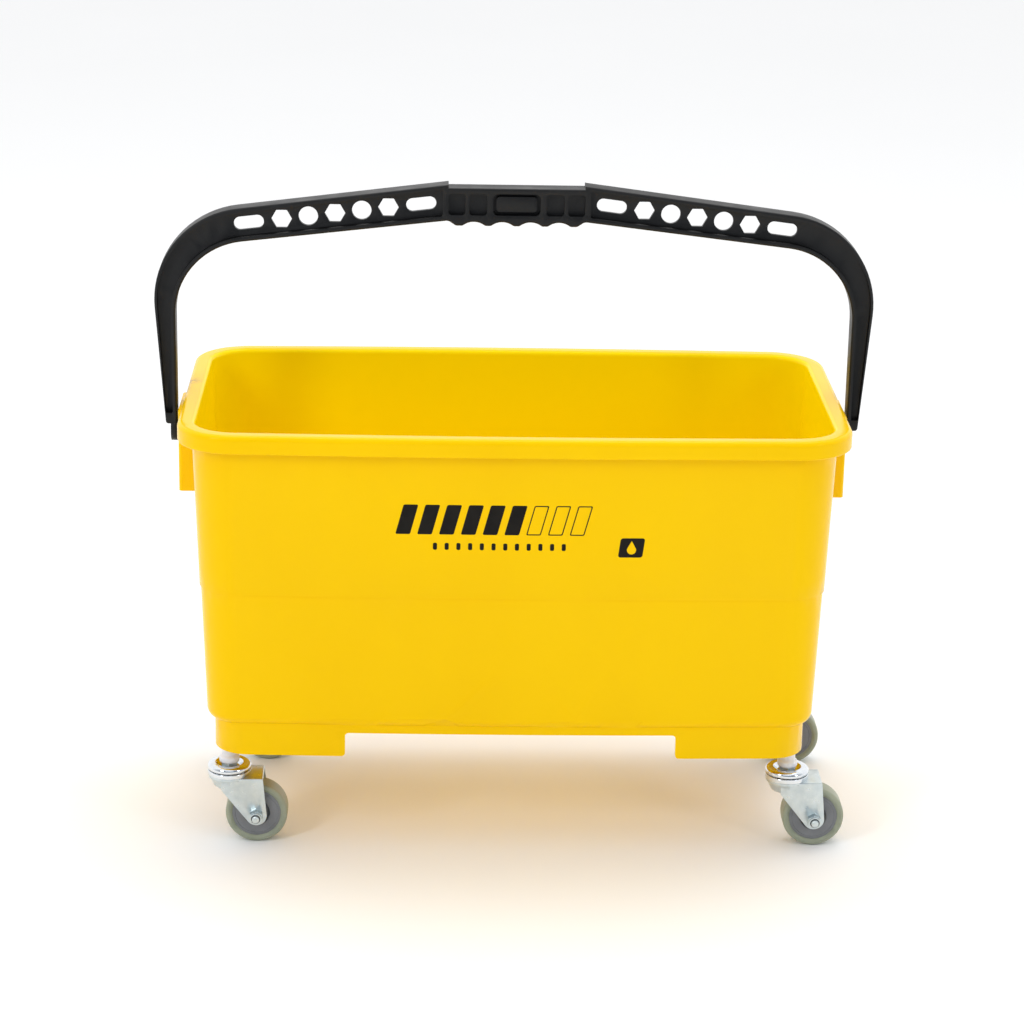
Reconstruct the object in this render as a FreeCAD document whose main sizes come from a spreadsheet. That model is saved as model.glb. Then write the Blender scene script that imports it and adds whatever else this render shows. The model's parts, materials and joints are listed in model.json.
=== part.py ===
"""A wheeled bucket with a swinging bail handle, for window washing and mopping.

One moulding makes the tub, its rim, its two handle ears and its base skirt with four caster sockets.
The bail is a second moulding that snaps into the ears and swings about the X axis. Each caster is a
push-in stem in a nylon sleeve, a fixed upper race, and a fork that swivels below it and holds a wheel.

Millimetres, +Z up, origin on the floor under the middle of the bucket, long sides along X.
"""
import FreeCAD, Part
import Sketcher

import math
import os
import re

DOC = FreeCAD.newDocument("WheeledBucket")

# Driving dimensions: alias, value (mm, or degrees where the note says so), note.
DIMENSIONS = (
    ("rim_top", 355, "floor to the top of the rim"),
    ("rim_length", 526, "over the rim, along X"),
    ("rim_width", 272, "over the rim at its corners, along Y"),
    ("rim_corner", 45, "plan radius of the rim corners"),
    ("rim_height", 14.5, "depth of the rim skirt"),
    ("rim_lip", 3, "thickness of the rim"),
    ("rim_round", 4, "round on the outer top edge of the rim"),
    ("rim_under_round", 1.2, "round on the lower edge of the rim skirt"),
    ("rim_inner_round", 4, "round on the inner edge of the rim"),
    ("side_bow", 3.2, "how far the long sides bow outwards"),
    ("side_sweep", 6000, "radius of the bowed sides"),
    ("tub_length", 505, "tub outside, at the rim, along X"),
    ("tub_width", 251, "tub outside, at the rim, along Y"),
    ("tub_corner", 36, "plan radius of the tub corners"),
    ("wall", 3.6, "tub wall"),
    ("draft", 2.1, "wall draft, degrees"),
    ("step_level", 221, "height of the step line round the tub"),
    ("step_depth", 1, "how far the wall steps in there"),
    ("ledge_level", 109, "height of the tub's bottom edge"),
    ("floor_thick", 3.4, "tub floor"),
    ("tub_round", 9, "round at the tub's bottom edge"),
    ("inner_round", 12, "round between the wall and the floor inside"),
    ("base_length", 474, "over the base skirt, along X"),
    ("base_width", 222, "over the base skirt, along Y"),
    ("base_corner", 28, "plan radius of the base skirt"),
    ("base_wall", 3.2, "base skirt wall"),
    ("foot_level", 83, "floor to the underside of the feet"),
    ("notch_level", 103, "height of the notch between the feet"),
    ("notch_half", 132, "half the length of that notch"),
    ("notch_round", 3, "corner radius of that notch"),
    ("rib_thick", 2.6, "ribs under the tub floor"),
    ("rib_level", 103.5, "lower edge of the ribs along the middle"),
    ("rib_spread", 46, "distance of the long ribs from the middle"),
    ("ear_reach", 268, "middle of the bucket to the outer face of an ear"),
    ("ear_width", 58, "ear width, along Y"),
    ("ear_top", 343, "top of the ears, inside the rim"),
    ("ear_bottom", 277, "underside of the ears"),
    ("ear_wall", 3.2, "ear wall"),
    ("ear_round", 3, "vertical edges of the ears"),
    ("pivot_level", 322, "height of the bail's hinge axis"),
    ("pivot_boss", 11, "outer radius of the hinge boss in an ear"),
    ("pivot_bore", 6.1, "radius of the hinge bore in an ear"),
    ("pivot_depth", 13, "depth of that bore from the ear's face"),
    ("pivot_pin", 6, "radius of the bail's hinge stud"),
    ("stud_length", 11, "length of that stud inside the ear"),
    ("shoulder_stud", 8.5, "radius of the shoulder round that stud"),
    ("stud_gap", 0.5, "gap between that shoulder and the ear"),
    ("bail_inner", 270.4, "middle of the bucket to the inner face of a bail arm"),
    ("lug_thick", 5, "thickness of the bail's hinge lug"),
    ("lug_radius", 10.6, "radius of the hinge lug"),
    ("arm_end", 327, "lower end of the outer part of a bail arm"),
    ("arm_low", 279.4, "middle of the bucket to the arm's outer face at that end"),
    ("shoulder_reach", 292.4, "where the arm's outer side and top would meet, along X"),
    ("shoulder_level", 495, "the same, height"),
    ("shoulder_round", 76, "radius of the bail's outer corners"),
    ("crook_level", 471.2, "height where the arm's inner side and underside would meet"),
    ("crook_round", 60, "radius of the bail's inner corners"),
    ("bail_top", 525.4, "top of a bail arm beside the grip"),
    ("bail_under", 496.6, "underside of a bail arm beside the grip"),
    ("grip_half", 58.5, "half the length of the grip with its end ribs"),
    ("grip_end", 54, "half the length of the grip between its end ribs"),
    ("grip_top", 522.8, "top of the grip"),
    ("grip_low", 492.6, "underside of the ridges between the fingers"),
    ("finger_pitch", 22.5, "pitch of the finger grooves"),
    ("finger_depth", 3.2, "depth of the finger grooves"),
    ("finger_round", 14, "radius of the finger grooves"),
    ("finger_ridge", 3, "round on the ridges between the fingers"),
    ("grip_low_half", 48, "half the length of the grip's underside"),
    ("bail_thick", 18, "thickness of the bail, along Y"),
    ("bail_round", 1.6, "round on the bail's outer edges"),
    ("web_thick", 4, "web in the middle of the bail"),
    ("recess_low", 273.6, "inner side of a recess at its lower end"),
    ("recess_low_outer", 279.4, "outer side of a recess at its lower end"),
    ("recess_end", 336, "lower end of a recess"),
    ("pocket_low", 501.2, "lower side of the grip's pockets"),
    ("pocket_high", 518.6, "upper side of the grip's pockets"),
    ("panel_half", 18.7, "half the length of the grip's middle pocket"),
    ("panel_gap", 2.6, "gap round the raised panel in that pocket"),
    ("panel_sink", 2.4, "how far the panel lies below the grip's face"),
    ("small_start", 23.4, "inner end of the grip's small pockets"),
    ("small_end", 37.6, "outer end of those pockets"),
    ("outer_start", 40.6, "inner end of the grip's outer pockets"),
    ("flange", 3.4, "flange round the bail's web"),
    ("hole_start", 101.4, "middle of the bail to its first hexagonal hole"),
    ("hole_pitch", 21.1, "pitch of the hexagonal and round holes"),
    ("hole_level", 505.3, "height of the first hexagonal hole"),
    ("hole_fall", 0.122, "fall of the row of holes for each millimetre outwards"),
    ("hole_round", 7.7, "radius of the round holes"),
    ("hex_round", 8.3, "corner radius of the hexagonal holes, middle to corner"),
    ("slot_offset", 25.9, "last hexagonal hole to the middle of a slot"),
    ("slot_half", 11.9, "half the length of a slot"),
    ("slot_round", 5.4, "half the height of a slot"),
    ("slot_end", 5.1, "radius of a slot's corners"),
    ("caster_x", 226, "middle of the bucket to a caster's stem, along X"),
    ("caster_y", 86, "middle of the bucket to a caster's stem, along Y"),
    ("trail", 22, "stem to wheel axle"),
    ("socket_boss", 10.4, "outer radius of a caster socket"),
    ("socket_bore", 6.25, "bore radius of a caster socket"),
    ("socket_play", 1, "room above a sleeve in its socket"),
    ("sleeve_radius", 6.15, "outer radius of the nylon sleeve"),
    ("sleeve_collar", 8.1, "outer radius of the sleeve's lower collar"),
    ("sleeve_bottom", 66.9, "lower end of the sleeve"),
    ("sleeve_top", 105, "upper end of the sleeve"),
    ("stem_radius", 3.9, "radius of the caster's stem"),
    ("stem_bore", 4, "bore radius of the sleeve"),
    ("stem_top", 102, "upper end of the stem"),
    ("collar_height", 4.4, "height of the sleeve's collar"),
    ("stem_bevel", 1, "bevel at the stem's upper end"),
    ("head_bottom", 51.2, "underside of the kingpin's riveted head"),
    ("head_top", 54.3, "top of that head"),
    ("head_radius", 6.2, "radius of that head"),
    ("hex_bottom", 62.4, "underside of the stem's hexagonal collar"),
    ("hex_collar", 7, "stem's hexagonal collar, middle to corner"),
    ("race_sheet", 1.2, "sheet thickness of the upper race"),
    ("dish_radius", 8.2, "flat bottom of the dish in the upper race"),
    ("ring_inner", 11.2, "inner radius of the upper race's ring"),
    ("race_radius", 17.7, "outer radius of the swivel races"),
    ("race_top", 66.2, "top of the upper race"),
    ("race_gap", 62, "underside of the upper race's edge"),
    ("lower_race_top", 60.8, "top of the lower race's edge"),
    ("plate_top", 57, "top of the fork's plate"),
    ("plate_thick", 2.2, "fork sheet thickness"),
    ("track_top", 61.5, "top of the ball track on the lower race"),
    ("ball_gap", 0.05, "ball to its track"),
    ("fork_bore", 5, "bore radius of the lower race"),
    ("kingpin_bore", 4.3, "bore radius of the fork's plate"),
    ("plate_radius", 17, "radius of the fork's round plate"),
    ("skirt_radius", 12.6, "radius at the foot of the skirt in front of that plate"),
    ("ball_radius", 1.5, "radius of a bearing ball"),
    ("ball_circle", 13.6, "radius of the circle of balls"),
    ("fork_half", 14.6, "middle of the fork to the outside of a leg"),
    ("axle_level", 25, "height of the wheel axle"),
    ("leg_round", 8.4, "radius at the lower end of a leg"),
    ("leg_start", 6, "stem to the front edge of a leg at its top"),
    ("leg_shoulder", 47, "height where that edge starts to rake back"),
    ("leg_toe_front", 4.1, "axle to the corner under a leg's front edge"),
    ("leg_toe_back", 9.3, "axle to the corner under a leg's back edge"),
    ("bridge_reach", 5.5, "axle to the back edge of a leg at its top"),
    ("wheel_radius", 25, "radius of the wheel"),
    ("wheel_half", 9.8, "half the width of the tyre"),
    ("hub_radius", 19.5, "radius of the wheel hub"),
    ("hub_half", 8.6, "half the width of the hub at the tyre"),
    ("hub_edge", 1, "small rounds and bevels on the wheel"),
    ("hub_bore", 4.46, "bore radius of the hub"),
    ("boss_radius", 7, "radius of the hub's boss"),
    ("boss_half", 11.6, "half the length of the hub's boss"),
    ("moat_radius", 9.6, "outer radius of the moat round the boss"),
    ("moat_half", 4.4, "half the hub's thickness in the moat"),
    ("tyre_bead", 2, "width of the bevel between the hub and the tyre's side"),
    ("tyre_shoulder", 3, "round on the tyre's shoulders"),
    ("axle_radius", 3, "radius of the axle bolt"),
    ("axle_bore", 3.1, "radius of the holes round the axle bolt"),
    ("bolt_end", 1.9, "how far the axle bolt stands out of its nut"),
    ("bush_radius", 4.4, "outer radius of the bush round the axle bolt"),
    ("nut_half", 5.75, "axle nut, middle to corner"),
    ("nut_thick", 7.6, "axle nut height"),
    ("nut_hex", 5.2, "height of the axle nut's hexagon, under its round locking collar"),
    ("nut_collar", 4.7, "outer radius of that collar"),
    ("nut_insert", 3.8, "radius of the recess for the locking insert"),
    ("insert_depth", 0.8, "depth of that recess"),
    ("bolt_head", 4, "axle bolt head height"),
)
SIZES = DOC.addObject("Spreadsheet::Sheet", "Sizes")
for row, (alias, amount, note) in enumerate(DIMENSIONS, start=1):
    SIZES.set("A%d" % row, alias)
    SIZES.set("B%d" % row, str(amount))
    SIZES.set("C%d" % row, note)
    SIZES.setAlias("B%d" % row, alias)
DOC.recompute()
NAMES = {alias: "Sizes." + alias for alias, _, _ in DIMENSIONS}

CORNERS = (("front_left", -1, -1), ("front_right", 1, -1), ("rear_left", -1, 1), ("rear_right", 1, 1))
ARM_HOLES = 5
BALL_COUNT = 22
SKIRT_TURN = 190
SUB_PARTS = []


def bound(expression):
    """The expression with every driving dimension named in full, as Sizes.alias."""
    return re.sub("[a-z_]+", lambda word: NAMES.get(word[0], word[0]), expression)


def value(expression):
    """What an expression of driving dimensions comes to."""
    result = SIZES.evalExpression(bound(expression))
    return float(getattr(result, "Value", result))


def bind(thing, **places):
    """Bind properties of an object to expressions of driving dimensions."""
    for name, expression in places.items():
        thing.setExpression(name.replace("__", "."), bound(expression))
    return thing


def sub_part(thing, label):
    """Name an object as one separate piece of the bucket."""
    thing.Label = label
    SUB_PARTS.append(thing)
    return thing


def new_body(label):
    return sub_part(DOC.addObject("PartDesign::Body", label), label)


def new_sketch(body, name, role, offset="0"):
    """A sketch on one of the body's origin planes, moved along its normal."""
    plane = next(item for item in body.Origin.OriginFeatures if item.Role == role)
    sketch = body.newObject("Sketcher::SketchObject", name)
    sketch.AttachmentSupport = [(plane, "")]
    sketch.MapMode = "FlatFace"
    sketch.setExpression(".AttachmentOffset.Base.z", bound(offset))
    return sketch


def hold(sketch, wanted):
    """Add pairs of a constraint and the expression that drives it, or None, to a sketch."""
    first = sketch.ConstraintCount
    sketch.addConstraint([constraint for constraint, _ in wanted])
    for number, (_, expression) in enumerate(wanted, start=first):
        if expression:
            sketch.setExpression("Constraints[%d]" % number, bound(expression))


def pin_point(shape, end, across, along):
    """What holds one point of a sketch at coordinates given as expressions."""
    pairs = []
    for kind, axis, expression in (("DistanceX", -2, across), ("DistanceY", -1, along)):
        if expression == "0":
            pairs.append((Sketcher.Constraint("PointOnObject", shape, end, axis), None))
        else:
            pairs.append((Sketcher.Constraint(kind, -1, 1, shape, end, value(expression)), expression))
    return pairs


def outline(sketch, corners):
    """A closed outline of straight sides. Each corner is (across, along, radius) in expressions."""
    points = [FreeCAD.Vector(value(across), value(along), 0) for across, along, _ in corners]
    count = len(points)
    bends = []
    for index, point in enumerate(points):
        back = (points[index - 1] - point).normalize()
        ahead = (points[(index + 1) % count] - point).normalize()
        radius = value(corners[index][2])
        half = back.getAngle(ahead) / 2
        reach = radius / math.tan(half)
        middle = (back + ahead).normalize() if radius else back
        nearest = point + middle * (radius / math.sin(half) - radius)
        bends.append((point + back * reach, nearest, point + ahead * reach, radius))
    sides = []
    for index in range(count):
        line = Part.LineSegment(bends[index][2], bends[(index + 1) % count][0])
        sides.append(sketch.addGeometry(line, False))
    wanted = []
    for index, (across, along, radius_text) in enumerate(corners):
        start, nearest, end, radius = bends[index]
        before, after = sides[index - 1], sides[index]
        if not radius:
            wanted.append((Sketcher.Constraint("Coincident", before, 2, after, 1), None))
            wanted.extend(pin_point(after, 1, across, along))
            continue
        arc = sketch.addGeometry(Part.Arc(start, nearest, end), False)
        first, last = (1, 2) if sketch.getPoint(arc, 1).isEqual(start, 1e-4) else (2, 1)
        apex = sketch.addGeometry(Part.Point(points[index]), True)
        wanted.append((Sketcher.Constraint("Tangent", before, 2, arc, first), None))
        wanted.append((Sketcher.Constraint("Tangent", arc, last, after, 1), None))
        wanted.append((Sketcher.Constraint("Radius", arc, radius), radius_text))
        wanted.append((Sketcher.Constraint("PointOnObject", apex, 1, before), None))
        wanted.append((Sketcher.Constraint("PointOnObject", apex, 1, after), None))
        wanted.extend(pin_point(apex, 1, across, along))
    hold(sketch, wanted)


def circle(sketch, across, along, radius):
    """A full circle at coordinates given as expressions."""
    centre = FreeCAD.Vector(value(across), value(along), 0)
    shape = sketch.addGeometry(Part.Circle(centre, FreeCAD.Vector(0, 0, 1), value(radius)), False)
    size = (Sketcher.Constraint("Radius", shape, value(radius)), radius)
    hold(sketch, [size] + pin_point(shape, 3, across, along))


def bowed_box(sketch, half_length, half_width, corner):
    """A rounded rectangle whose two long sides bow outwards."""
    crown = "%s + 2 * side_bow" % half_width
    outline(sketch, (
        (half_length, "-(%s)" % half_width, corner),
        (half_length, half_width, corner),
        ("0", crown, "side_sweep"),
        ("-(%s)" % half_length, half_width, corner),
        ("-(%s)" % half_length, "-(%s)" % half_width, corner),
        ("0", "-(%s)" % crown, "side_sweep"),
    ))


def box(sketch, low_x, low_y, high_x, high_y, corner="0"):
    """A rectangle between two corners given as expressions."""
    outline(sketch, ((high_x, low_y, corner), (high_x, high_y, corner),
                     (low_x, high_y, corner), (low_x, low_y, corner)))


def feature(body, kind, sketch, **settings):
    """A PartDesign feature on a sketch. Text settings are expressions, the others plain values."""
    before = body.Tip.Shape.Volume if body.Tip else 0
    made = body.newObject("PartDesign::" + kind, kind + sketch.Name)
    made.Profile = sketch
    for name, setting in settings.items():
        if isinstance(setting, str):
            made.setExpression(name, bound(setting))
        else:
            setattr(made, name, setting)
    DOC.recompute()
    change = made.Shape.Volume - before
    shrinks = kind in ("Pocket", "Groove")
    if "Invalid" in made.State or abs(change) < 1e-3 or (change > 0) == shrinks:
        raise ValueError("%s changed the volume by %.3f" % (made.Name, change))
    return made


def round_edges(body, name, radius, wanted, kind="Fillet"):
    """Round or chamfer the edges of the body's present shape that a test picks."""
    base = body.Tip
    edges = ["Edge%d" % number for number, edge in enumerate(base.Shape.Edges, start=1) if wanted(edge)]
    if not edges:
        raise ValueError("no edges for " + name)
    made = body.newObject("PartDesign::" + kind, name)
    made.Base = (base, edges)
    made.setExpression("Radius" if kind == "Fillet" else "Size", bound(radius))
    DOC.recompute()
    if "Invalid" in made.State or not made.Shape.isValid():
        raise ValueError("failed " + name)
    return made


def level(edge, height, tolerance=0.01):
    """Whether an edge lies flat at a height."""
    reach = edge.BoundBox
    return abs(reach.ZMin - height) < tolerance and abs(reach.ZMax - height) < tolerance


def make_bucket():
    """The one-piece bucket: tub, rolled rim, handle ears, base skirt with feet, and caster sockets."""
    body = new_body("bucket")
    upper = new_sketch(body, "UpperTub", "XY_Plane", "rim_top")
    bowed_box(upper, "tub_length / 2", "tub_width / 2", "tub_corner")
    feature(body, "Pad", upper, Length="rim_top - step_level", Reversed=True, TaperAngle="-draft")

    inset = "((rim_top - step_level) * tan(draft) + step_depth)"
    lower = new_sketch(body, "LowerTub", "XY_Plane", "step_level")
    bowed_box(lower, "tub_length / 2 - " + inset, "tub_width / 2 - " + inset, "tub_corner - " + inset)
    feature(body, "Pad", lower, Length="step_level - ledge_level", Reversed=True, TaperAngle="-draft")
    round_edges(body, "TubBottomRound", "tub_round", lambda edge: level(edge, value("ledge_level")))

    base = new_sketch(body, "BaseSkirt", "XY_Plane", "ledge_level + tub_round")
    bowed_box(base, "base_length / 2", "base_width / 2", "base_corner")
    feature(body, "Pad", base, Length="ledge_level + tub_round - foot_level", Reversed=True)

    rim = new_sketch(body, "Rim", "XY_Plane", "rim_top")
    bowed_box(rim, "rim_length / 2", "rim_width / 2", "rim_corner")
    feature(body, "Pad", rim, Length="rim_height", Reversed=True)
    round_edges(body, "RimRound", "rim_round", lambda edge: level(edge, value("rim_top")))
    skirt_end = value("rim_top - rim_height")
    round_edges(body, "RimUnderRound", "rim_under_round",
                lambda edge: level(edge, skirt_end) and outside_tub(edge))

    channel = new_sketch(body, "RimChannel", "XY_Plane", "rim_top - rim_height")
    bowed_box(channel, "rim_length / 2 - rim_lip", "rim_width / 2 - rim_lip", "rim_corner - rim_lip")
    bowed_box(channel, "tub_length / 2", "tub_width / 2", "tub_corner")
    feature(body, "Pocket", channel, Length="rim_height - rim_lip", Reversed=True)

    add_ears(body)

    cavity = new_sketch(body, "Cavity", "XY_Plane", "rim_top")
    bowed_box(cavity, "tub_length / 2 - wall", "tub_width / 2 - wall", "tub_corner - wall")
    floor_top = "(ledge_level + floor_thick)"
    feature(body, "Pocket", cavity, Length="rim_top - " + floor_top, TaperAngle="-draft")
    round_edges(body, "FloorRound", "inner_round", lambda edge: level(edge, value(floor_top)))
    round_edges(body, "MouthRound", "rim_inner_round", lambda edge: level(edge, value("rim_top")))

    bore_ears(body)
    add_base(body)
    return body


def outside_tub(edge):
    """Whether the middle of an edge lies outside the tub's plan at the rim."""
    middle = edge.valueAt((edge.FirstParameter + edge.LastParameter) / 2)
    corner_x = value("tub_length / 2 - tub_corner")
    corner_y = value("tub_width / 2 - tub_corner")
    across = max(abs(middle.x) - corner_x, 0)
    along = max(abs(middle.y) - corner_y, 0)
    return math.hypot(across, along) > value("tub_corner + 2 * side_bow")


def add_ears(body):
    """The two hollow ears and the bosses that the bail hinges on, run through the still solid tub."""
    ears = new_sketch(body, "Ears", "XY_Plane", "ear_top")
    box(ears, "-ear_reach", "-ear_width / 2", "ear_reach", "ear_width / 2", "ear_round")
    feature(body, "Pad", ears, Length="ear_top - ear_bottom", Reversed=True)

    hollows = new_sketch(body, "EarHollows", "XY_Plane", "ear_bottom")
    inner, outer = "tub_length / 2", "(ear_reach - ear_wall)"
    half = "(ear_width / 2 - ear_wall)"
    box(hollows, inner, "-" + half, outer, half)
    box(hollows, "-" + outer, "-" + half, "-(%s)" % inner, half)
    feature(body, "Pocket", hollows, Length="ear_top - ear_wall - ear_bottom", Reversed=True)

    boss = new_sketch(body, "HingeBoss", "YZ_Plane", "-ear_reach + ear_wall / 2")
    circle(boss, "0", "pivot_level", "pivot_boss")
    feature(body, "Pad", boss, Length="2 * ear_reach - ear_wall")


def bore_ears(body):
    """The blind bores in the ears that the bail's studs snap into."""
    for side, sign, backwards in (("Right", "", False), ("Left", "-", True)):
        bore = new_sketch(body, side + "HingeBore", "YZ_Plane", sign + "ear_reach")
        circle(bore, "0", "pivot_level", "pivot_bore")
        feature(body, "Pocket", bore, Length="pivot_depth", Reversed=backwards)


def add_base(body):
    """The hollow base skirt: feet, the notch between them, ribs and the four caster sockets."""
    hollow = new_sketch(body, "BaseHollow", "XY_Plane", "foot_level")
    bowed_box(hollow, "base_length / 2 - base_wall", "base_width / 2 - base_wall", "base_corner - base_wall")
    feature(body, "Pocket", hollow, Length="ledge_level - foot_level", Reversed=True)

    notch = new_sketch(body, "Notch", "XZ_Plane", "-base_width")
    outline(notch, (
        ("notch_half", "foot_level - notch_round", "0"),
        ("notch_half", "notch_level", "notch_round"),
        ("-notch_half", "notch_level", "notch_round"),
        ("-notch_half", "foot_level - notch_round", "0"),
    ))
    feature(body, "Pocket", notch, Length="2 * base_width", Reversed=True)
    foot_end = value("notch_half")
    foot_level = value("foot_level")
    round_edges(body, "FootRound", "notch_round", lambda edge: level(edge, foot_level)
                and edge.BoundBox.XLength < 0.01 and abs(abs(edge.BoundBox.XMin) - foot_end) < 0.01)

    sockets = new_sketch(body, "Sockets", "XY_Plane", "foot_level")
    for _, side_x, side_y in CORNERS:
        circle(sockets, "%d * caster_x" % side_x, "%d * caster_y" % side_y, "socket_boss")
    feature(body, "Pad", sockets, Length="ledge_level - foot_level")

    end_ribs = new_sketch(body, "EndRibs", "XY_Plane", "foot_level + notch_round")
    near, far = "(notch_half + 2 * notch_round)", "(notch_half + 2 * notch_round + rib_thick)"
    for sign in (1, -1):
        box(end_ribs, "%d * %s" % (sign, near), "-(base_width / 2 - base_wall / 2)",
            "%d * %s" % (sign, far), "base_width / 2 - base_wall / 2")
    feature(body, "Pad", end_ribs, Length="ledge_level - foot_level - notch_round")

    for name, along_x in (("SocketRibsAcross", False), ("SocketRibsAlong", True)):
        ribs = new_sketch(body, name, "XY_Plane", "foot_level + notch_round")
        for _, side_x, side_y in CORNERS:
            if along_x:
                start, end = "%d * caster_x" % side_x, "%d * %s" % (side_x, near)
                low, high = "%d * caster_y - rib_thick / 2" % side_y, "%d * caster_y + rib_thick / 2" % side_y
            else:
                start, end = "%d * caster_x - rib_thick / 2" % side_x, "%d * caster_x + rib_thick / 2" % side_x
                low = "%d * caster_y" % side_y
                high = "%d * (base_width / 2 - 2.8 * base_wall)" % side_y
            box(ribs, start, low, end, high)
        feature(body, "Pad", ribs, Length="ledge_level - foot_level - notch_round")

    long_ribs = new_sketch(body, "LongRibs", "XY_Plane", "rib_level")
    for sign in (1, -1):
        box(long_ribs, "-" + near, "%d * rib_spread - rib_thick / 2" % sign,
            near, "%d * rib_spread + rib_thick / 2" % sign)
    feature(body, "Pad", long_ribs, Length="ledge_level - rib_level")

    bores = new_sketch(body, "SocketBores", "XY_Plane", "foot_level")
    for _, side_x, side_y in CORNERS:
        circle(bores, "%d * caster_x" % side_x, "%d * caster_y" % side_y, "socket_bore")
    feature(body, "Pocket", bores, Length="sleeve_top + socket_play - foot_level", Reversed=True)


def make_bail():
    """The bail handle: two arms with webs and lightening holes, a finger grip and two hinge lugs."""
    body = new_body("bail_handle")
    frame = new_sketch(body, "BailOutline", "XZ_Plane", "-bail_thick / 2")
    right = (
        ("bail_inner", "arm_end", "0"),
        ("arm_low", "arm_end", "3 * bail_round / 2"),
        ("shoulder_reach", "shoulder_level", "shoulder_round"),
        ("grip_end", "bail_top", "0"),
        ("grip_end", "grip_top", "0"),
    )
    under = (
        ("grip_low_half", "grip_low", "finger_ridge"),
        ("grip_end", "bail_under", "2 * finger_ridge"),
        ("bail_inner", "crook_level", "crook_round"),
    )
    outline(frame, right + mirrored(right) + mirrored(under) + under)
    feature(body, "Pad", frame, Length="bail_thick")

    grooves = new_sketch(body, "FingerGrooves", "XZ_Plane", "-bail_thick")
    for place in (-1.5, -0.5, 0.5, 1.5):
        circle(grooves, "%g * finger_pitch" % place, "grip_low + finger_depth - finger_round", "finger_round")
    feature(body, "Pocket", grooves, Length="2 * bail_thick", Reversed=True)
    crest = value("grip_low")
    round_edges(body, "FingerRidges", "finger_ridge", lambda edge: level(edge, crest, 0.6)
                and edge.BoundBox.XLength < 0.01 and abs(edge.BoundBox.XMin) < value("1.9 * finger_pitch"))
    face = value("bail_thick / 2")
    round_edges(body, "BailRound", "bail_round", lambda edge: edge.BoundBox.YLength < 0.01
                and abs(abs(edge.BoundBox.YMin) - face) < 0.01)

    add_recesses(body)
    add_holes(body)
    add_lugs(body)
    return body


def add_recesses(body):
    """Recesses on both faces that leave a web in the middle, with a raised panel in the grip's."""
    arm = (
        ("recess_low", "recess_end", "flange / 2"),
        ("recess_low_outer", "recess_end", "flange / 2"),
        ("shoulder_reach - 1.1 * flange", "shoulder_level - 1.1 * flange", "shoulder_round - flange"),
        ("grip_half", "bail_top - flange", "flange / 2"),
        ("grip_half", "bail_under + flange", "flange / 2"),
        ("bail_inner + flange", "crook_level + flange", "crook_round + flange"),
    )
    pockets = (("small_start", "small_end"), ("outer_start", "grip_end"))
    depth = "(bail_thick - web_thick) / 2"
    for face, offset, inwards, backwards in (("Front", "bail_thick / 2", -1, False),
                                             ("Back", "-bail_thick / 2", 1, True)):
        for side, sign in (("Right", ""), ("Left", "-")):
            recess = new_sketch(body, side + face + "Recess", "XZ_Plane", offset)
            outline(recess, mirrored(arm) if sign else arm)
            feature(body, "Pocket", recess, Length=depth, Reversed=backwards)
            small = new_sketch(body, side + face + "Pockets", "XZ_Plane", offset)
            for start, end in pockets:
                box(small, sign + start, "pocket_low", sign + end, "pocket_high", "0.8 * flange")
            feature(body, "Pocket", small, Length=depth, Reversed=backwards)
        middle = new_sketch(body, face + "MiddlePocket", "XZ_Plane", offset)
        box(middle, "-panel_half", "pocket_low", "panel_half", "pocket_high", "1.2 * flange")
        feature(body, "Pocket", middle, Length=depth, Reversed=backwards)
        panel = new_sketch(body, face + "Panel", "XZ_Plane", "%s + %d * panel_sink" % (offset, inwards))
        box(panel, "-(panel_half - panel_gap)", "pocket_low + panel_gap", "panel_half - panel_gap",
            "pocket_high - panel_gap", "0.8 * flange")
        feature(body, "Pad", panel, Length=depth + " - panel_sink", Reversed=not backwards)


def mirrored(corners):
    """The same outline on the other side of the middle, still in the same turning direction."""
    return tuple(("-(%s)" % across, along, radius) for across, along, radius in reversed(corners))


def add_holes(body):
    """The row of hexagonal and round holes between two slots in the web of each arm."""
    rise = "hole_level - hole_fall * "
    last = "(hole_start + %d * hole_pitch + slot_offset)" % (ARM_HOLES - 1)
    for side, sign in (("Right", 1), ("Left", -1)):
        for index in range(ARM_HOLES):
            hole = new_sketch(body, "%sHole%d" % (side, index), "XZ_Plane", "-bail_thick")
            across = "%d * (hole_start + %d * hole_pitch)" % (sign, index)
            along = "(%s %d * hole_pitch)" % (rise, index)
            if index % 2:
                circle(hole, across, along, "hole_round")
            else:
                outline(hole, tuple(
                    ("%s + hex_round * cos(%d)" % (across, turn), "%s + hex_round * sin(%d)" % (along, turn),
                     "web_thick / 5") for turn in range(0, 360, 60)))
            feature(body, "Pocket", hole, Length="2 * bail_thick", Reversed=True)
        for name, middle in (("Inner", "(hole_start - slot_offset)"), ("Outer", last)):
            slot = new_sketch(body, side + name + "Slot", "XZ_Plane", "-bail_thick")
            near, far = "(%s - slot_half)" % middle, "(%s + slot_half)" % middle
            near_level = "%s (%s - hole_start)" % (rise, near)
            far_level = "%s (%s - hole_start)" % (rise, far)
            outline(slot, (
                ("%d * %s" % (sign, near), near_level + " - slot_round", "slot_end"),
                ("%d * %s" % (sign, far), far_level + " - slot_round", "slot_end"),
                ("%d * %s" % (sign, far), far_level + " + slot_round", "slot_end"),
                ("%d * %s" % (sign, near), near_level + " + slot_round", "slot_end"),
            ))
            feature(body, "Pocket", slot, Length="2 * bail_thick", Reversed=True)


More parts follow.
